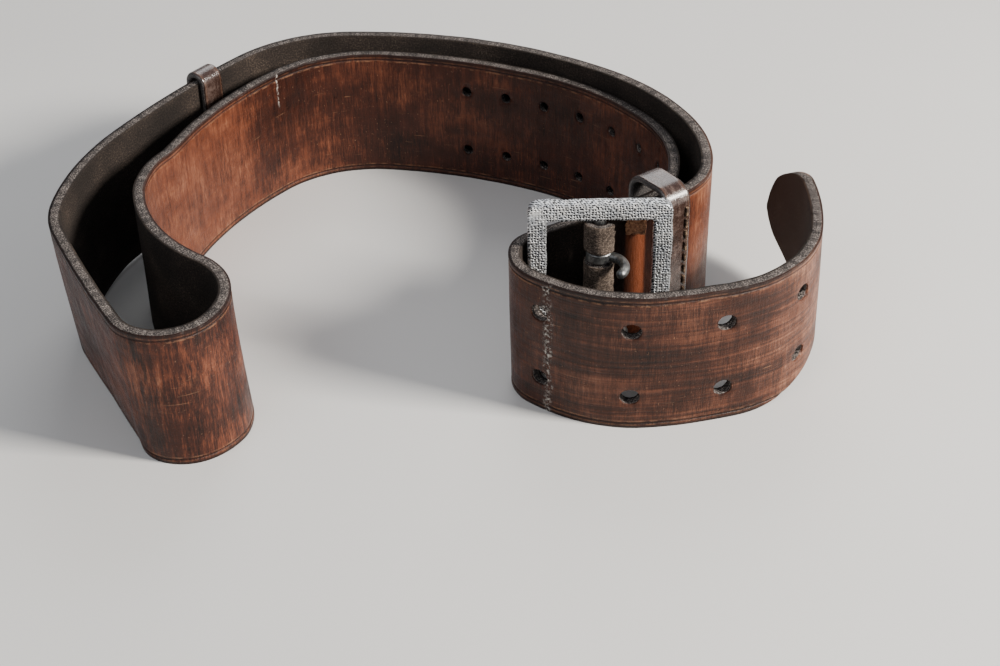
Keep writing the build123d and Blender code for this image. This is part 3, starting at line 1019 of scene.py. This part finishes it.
class BELT_OT_buckle(bpy.types.Operator):
    """Model the cast frame: a block, opened, rounded and made a little uneven"""

    bl_idname = "belt.buckle"
    bl_label = "Buckle frame"

    def execute(self, context):
        sizes = context.scene.belt_buckle
        low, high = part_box("buckle_frame")
        clear_selection()
        bpy.ops.mesh.primitive_cube_add(size=1, location=(low + high) / 2, scale=high - low)
        buckle = named("buckle_casting")
        fix_place()
        self.open_window(buckle, sizes)
        modify(
            buckle, "BEVEL", width=sizes.rounding, segments=5, limit_method="ANGLE", angle_limit=radians(60)
        )
        modify(buckle, "REMESH", mode="VOXEL", voxel_size=0.55 * MM)
        modify(buckle, "SMOOTH", factor=0.5, iterations=4)
        self.make_uneven(buckle, sizes)
        smooth(buckle, 60)
        finish_piece(buckle, "buckle", "buckle_cast", cast_metal(), "buckle_frame")
        return {"FINISHED"}

    def open_window(self, buckle, sizes):
        """Inset the front and back, join them through, and round the upright corners."""
        bpy.ops.object.mode_set(mode="EDIT")
        bpy.ops.mesh.select_mode(type="EDGE")
        mesh = bmesh.from_edit_mesh(buckle.data)
        for edge in mesh.edges:
            a, b = (vertex.co for vertex in edge.verts)
            edge.select_set(abs(a.y - b.y) > sizes.bar / 2)
        bmesh.update_edit_mesh(buckle.data)
        bpy.ops.mesh.bevel(offset=sizes.corner, segments=5, affect="EDGES")
        bpy.ops.mesh.select_mode(type="FACE")
        mesh = bmesh.from_edit_mesh(buckle.data)
        for face in mesh.faces:
            face.select_set(abs(face.normal.y) > 0.9)
        bmesh.update_edit_mesh(buckle.data)
        bpy.ops.mesh.inset(thickness=sizes.bar)
        bpy.ops.mesh.bridge_edge_loops()
        bpy.ops.object.mode_set(mode="OBJECT")
        tidy_normals(buckle)

    def make_uneven(self, buckle, sizes):
        """Wave the casting's skin in and out along its normals."""
        normals = [vertex.normal.copy() for vertex in buckle.data.vertices]
        for vertex, normal in zip(buckle.data.vertices, normals):
            wave = noise.noise(vertex.co / (5.5 * MM)) * 0.6 + noise.noise(vertex.co / (1.6 * MM)) * 0.25
            vertex.co += normal * (wave - 0.15) * sizes.unevenness


class BELT_OT_hardware(bpy.types.Operator):
    """Finish the prongs, the centre bar and the small parts"""

    bl_idname = "belt.hardware"
    bl_label = "Prongs and small parts"

    def execute(self, context):
        steel = worn_steel()
        for name in ("upper_prong", "lower_prong", "buckle_centre_bar", "sliding_keeper_staple"):
            self.coat(name, steel)
        self.coat("fixed_keeper_thread", waxed_thread())
        self.fray("chape_tab", torn_leather())
        return {"FINISHED"}

    def fray(self, name, material):
        """Torn end of the chape: a slab with its skin pulled ragged and its top torn down."""
        low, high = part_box(name)
        low.z -= REMNANT_DROP * MM
        clear_selection()
        bpy.ops.mesh.primitive_cube_add(size=1, location=(low + high) / 2, scale=high - low)
        piece = named("torn_end")
        fix_place()
        bpy.ops.object.mode_set(mode="EDIT")
        bpy.ops.mesh.select_all(action="SELECT")
        bpy.ops.mesh.subdivide(number_cuts=17)
        bpy.ops.object.mode_set(mode="OBJECT")
        size = high - low
        for vertex in piece.data.vertices:
            place = vertex.co
            up = (place.z - low.z) / size.z
            coarse = noise.noise_vector(place / (1.3 * MM))
            fine = noise.noise_vector(place / (0.5 * MM))
            vertex.co += (coarse * 0.7 + fine * 0.3) * REMNANT_PULL * MM
            tear = 0.5 + noise.noise(Vector((place.x / MM * 1.3, 3.0, 0)))
            vertex.co.z -= size.z * 0.25 * tear * ease(up, 0.3, 1)
        tidy_normals(piece)
        smooth(piece, 60)
        finish_piece(piece, "belt", "chape_leather", material, name)

    def coat(self, name, material):
        """Give a CAD node its material."""
        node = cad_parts[name]
        node.data.materials.clear()
        node.data.materials.append(material)


# Stage -----------------------------------------------------------------------------------------


class BELT_OT_stage(bpy.types.Operator):
    """Add the floor, the soft lights and the camera"""

    bl_idname = "belt.stage"
    bl_label = "Stage"

    def execute(self, context):
        sizes = context.scene.belt_stage
        clear_selection()
        bpy.ops.mesh.primitive_plane_add(size=sizes.floor_size, location=(0, 0, CAD_BOX[0].z))
        floor = named("floor")
        fix_place()
        floor.data.materials.append(pale_floor())
        self.light("key_light", (1.15, -0.42, 0.70), 0.30, 39, (1.0, 0.95, 0.88))
        self.light("fill_light", (-0.7, -0.9, 1.1), 1.0, 5, (0.92, 0.96, 1.0))
        self.light("back_light", (0.1, 1.2, 1.0), 0.8, 6, (1.0, 1.0, 1.0))
        world = bpy.data.worlds.new("studio")
        world.use_nodes = True
        backdrop = world.node_tree.nodes["Background"]
        backdrop.inputs["Color"].default_value = (0.92, 0.94, 1.0, 1)
        backdrop.inputs["Strength"].default_value = 0.28
        context.scene.world = world
        self.camera(context, sizes)
        return {"FINISHED"}

    def light(self, name, place, size, power, colour):
        bpy.ops.object.light_add(type="AREA", location=place)
        light = named(name)
        light.data.size = size
        light.data.energy = power
        light.data.color = colour
        light.rotation_euler = (-Vector(place)).to_track_quat("-Z", "Y").to_euler()

    def camera(self, context, sizes):
        tilt = Matrix.Rotation(pi / 2 - sizes.pitch, 4, "X") @ Matrix.Rotation(sizes.roll, 4, "Z")
        back = Vector((0, -cos(sizes.pitch), sin(sizes.pitch))) * sizes.distance
        bpy.ops.object.camera_add()
        camera = named("camera")
        camera.matrix_world = Matrix.Translation(Vector(sizes.target) + back) @ tilt
        camera.data.lens = sizes.lens
        camera.data.clip_start = 0.01
        context.scene.camera = camera


class BELT_PT_panel(bpy.types.Panel):
    """Belt tools"""

    bl_idname = "BELT_PT_panel"
    bl_label = "Leather belt"
    bl_space_type = "VIEW_3D"
    bl_region_type = "UI"
    bl_category = "Belt"

    def draw(self, context):
        for operator in OPERATORS:
            self.layout.operator(operator.bl_idname)


OPERATORS = (
    BELT_OT_strap,
    BELT_OT_fixed_keeper,
    BELT_OT_sliding_keeper,
    BELT_OT_buckle,
    BELT_OT_hardware,
    BELT_OT_stage,
)
SETTINGS = {
    "belt_strap": StrapSettings,
    "belt_keeper": KeeperSettings,
    "belt_buckle": BuckleSettings,
    "belt_stage": StageSettings,
}


def register():
    for settings in SETTINGS.values():
        bpy.utils.register_class(settings)
    for operator in OPERATORS:
        bpy.utils.register_class(operator)
    bpy.utils.register_class(BELT_PT_panel)
    for name, settings in SETTINGS.items():
        setattr(bpy.types.Scene, name, PointerProperty(type=settings))


def unregister():
    for name in SETTINGS:
        delattr(bpy.types.Scene, name)
    bpy.utils.unregister_class(BELT_PT_panel)
    for operator in reversed(OPERATORS):
        bpy.utils.unregister_class(operator)
    for settings in SETTINGS.values():
        bpy.utils.unregister_class(settings)


def main():
    register()
    bpy.ops.belt.strap()
    bpy.ops.belt.fixed_keeper()
    bpy.ops.belt.sliding_keeper()
    bpy.ops.belt.buckle()
    bpy.ops.belt.hardware()
    bpy.ops.belt.stage()


if __name__ == "__main__":
    main()
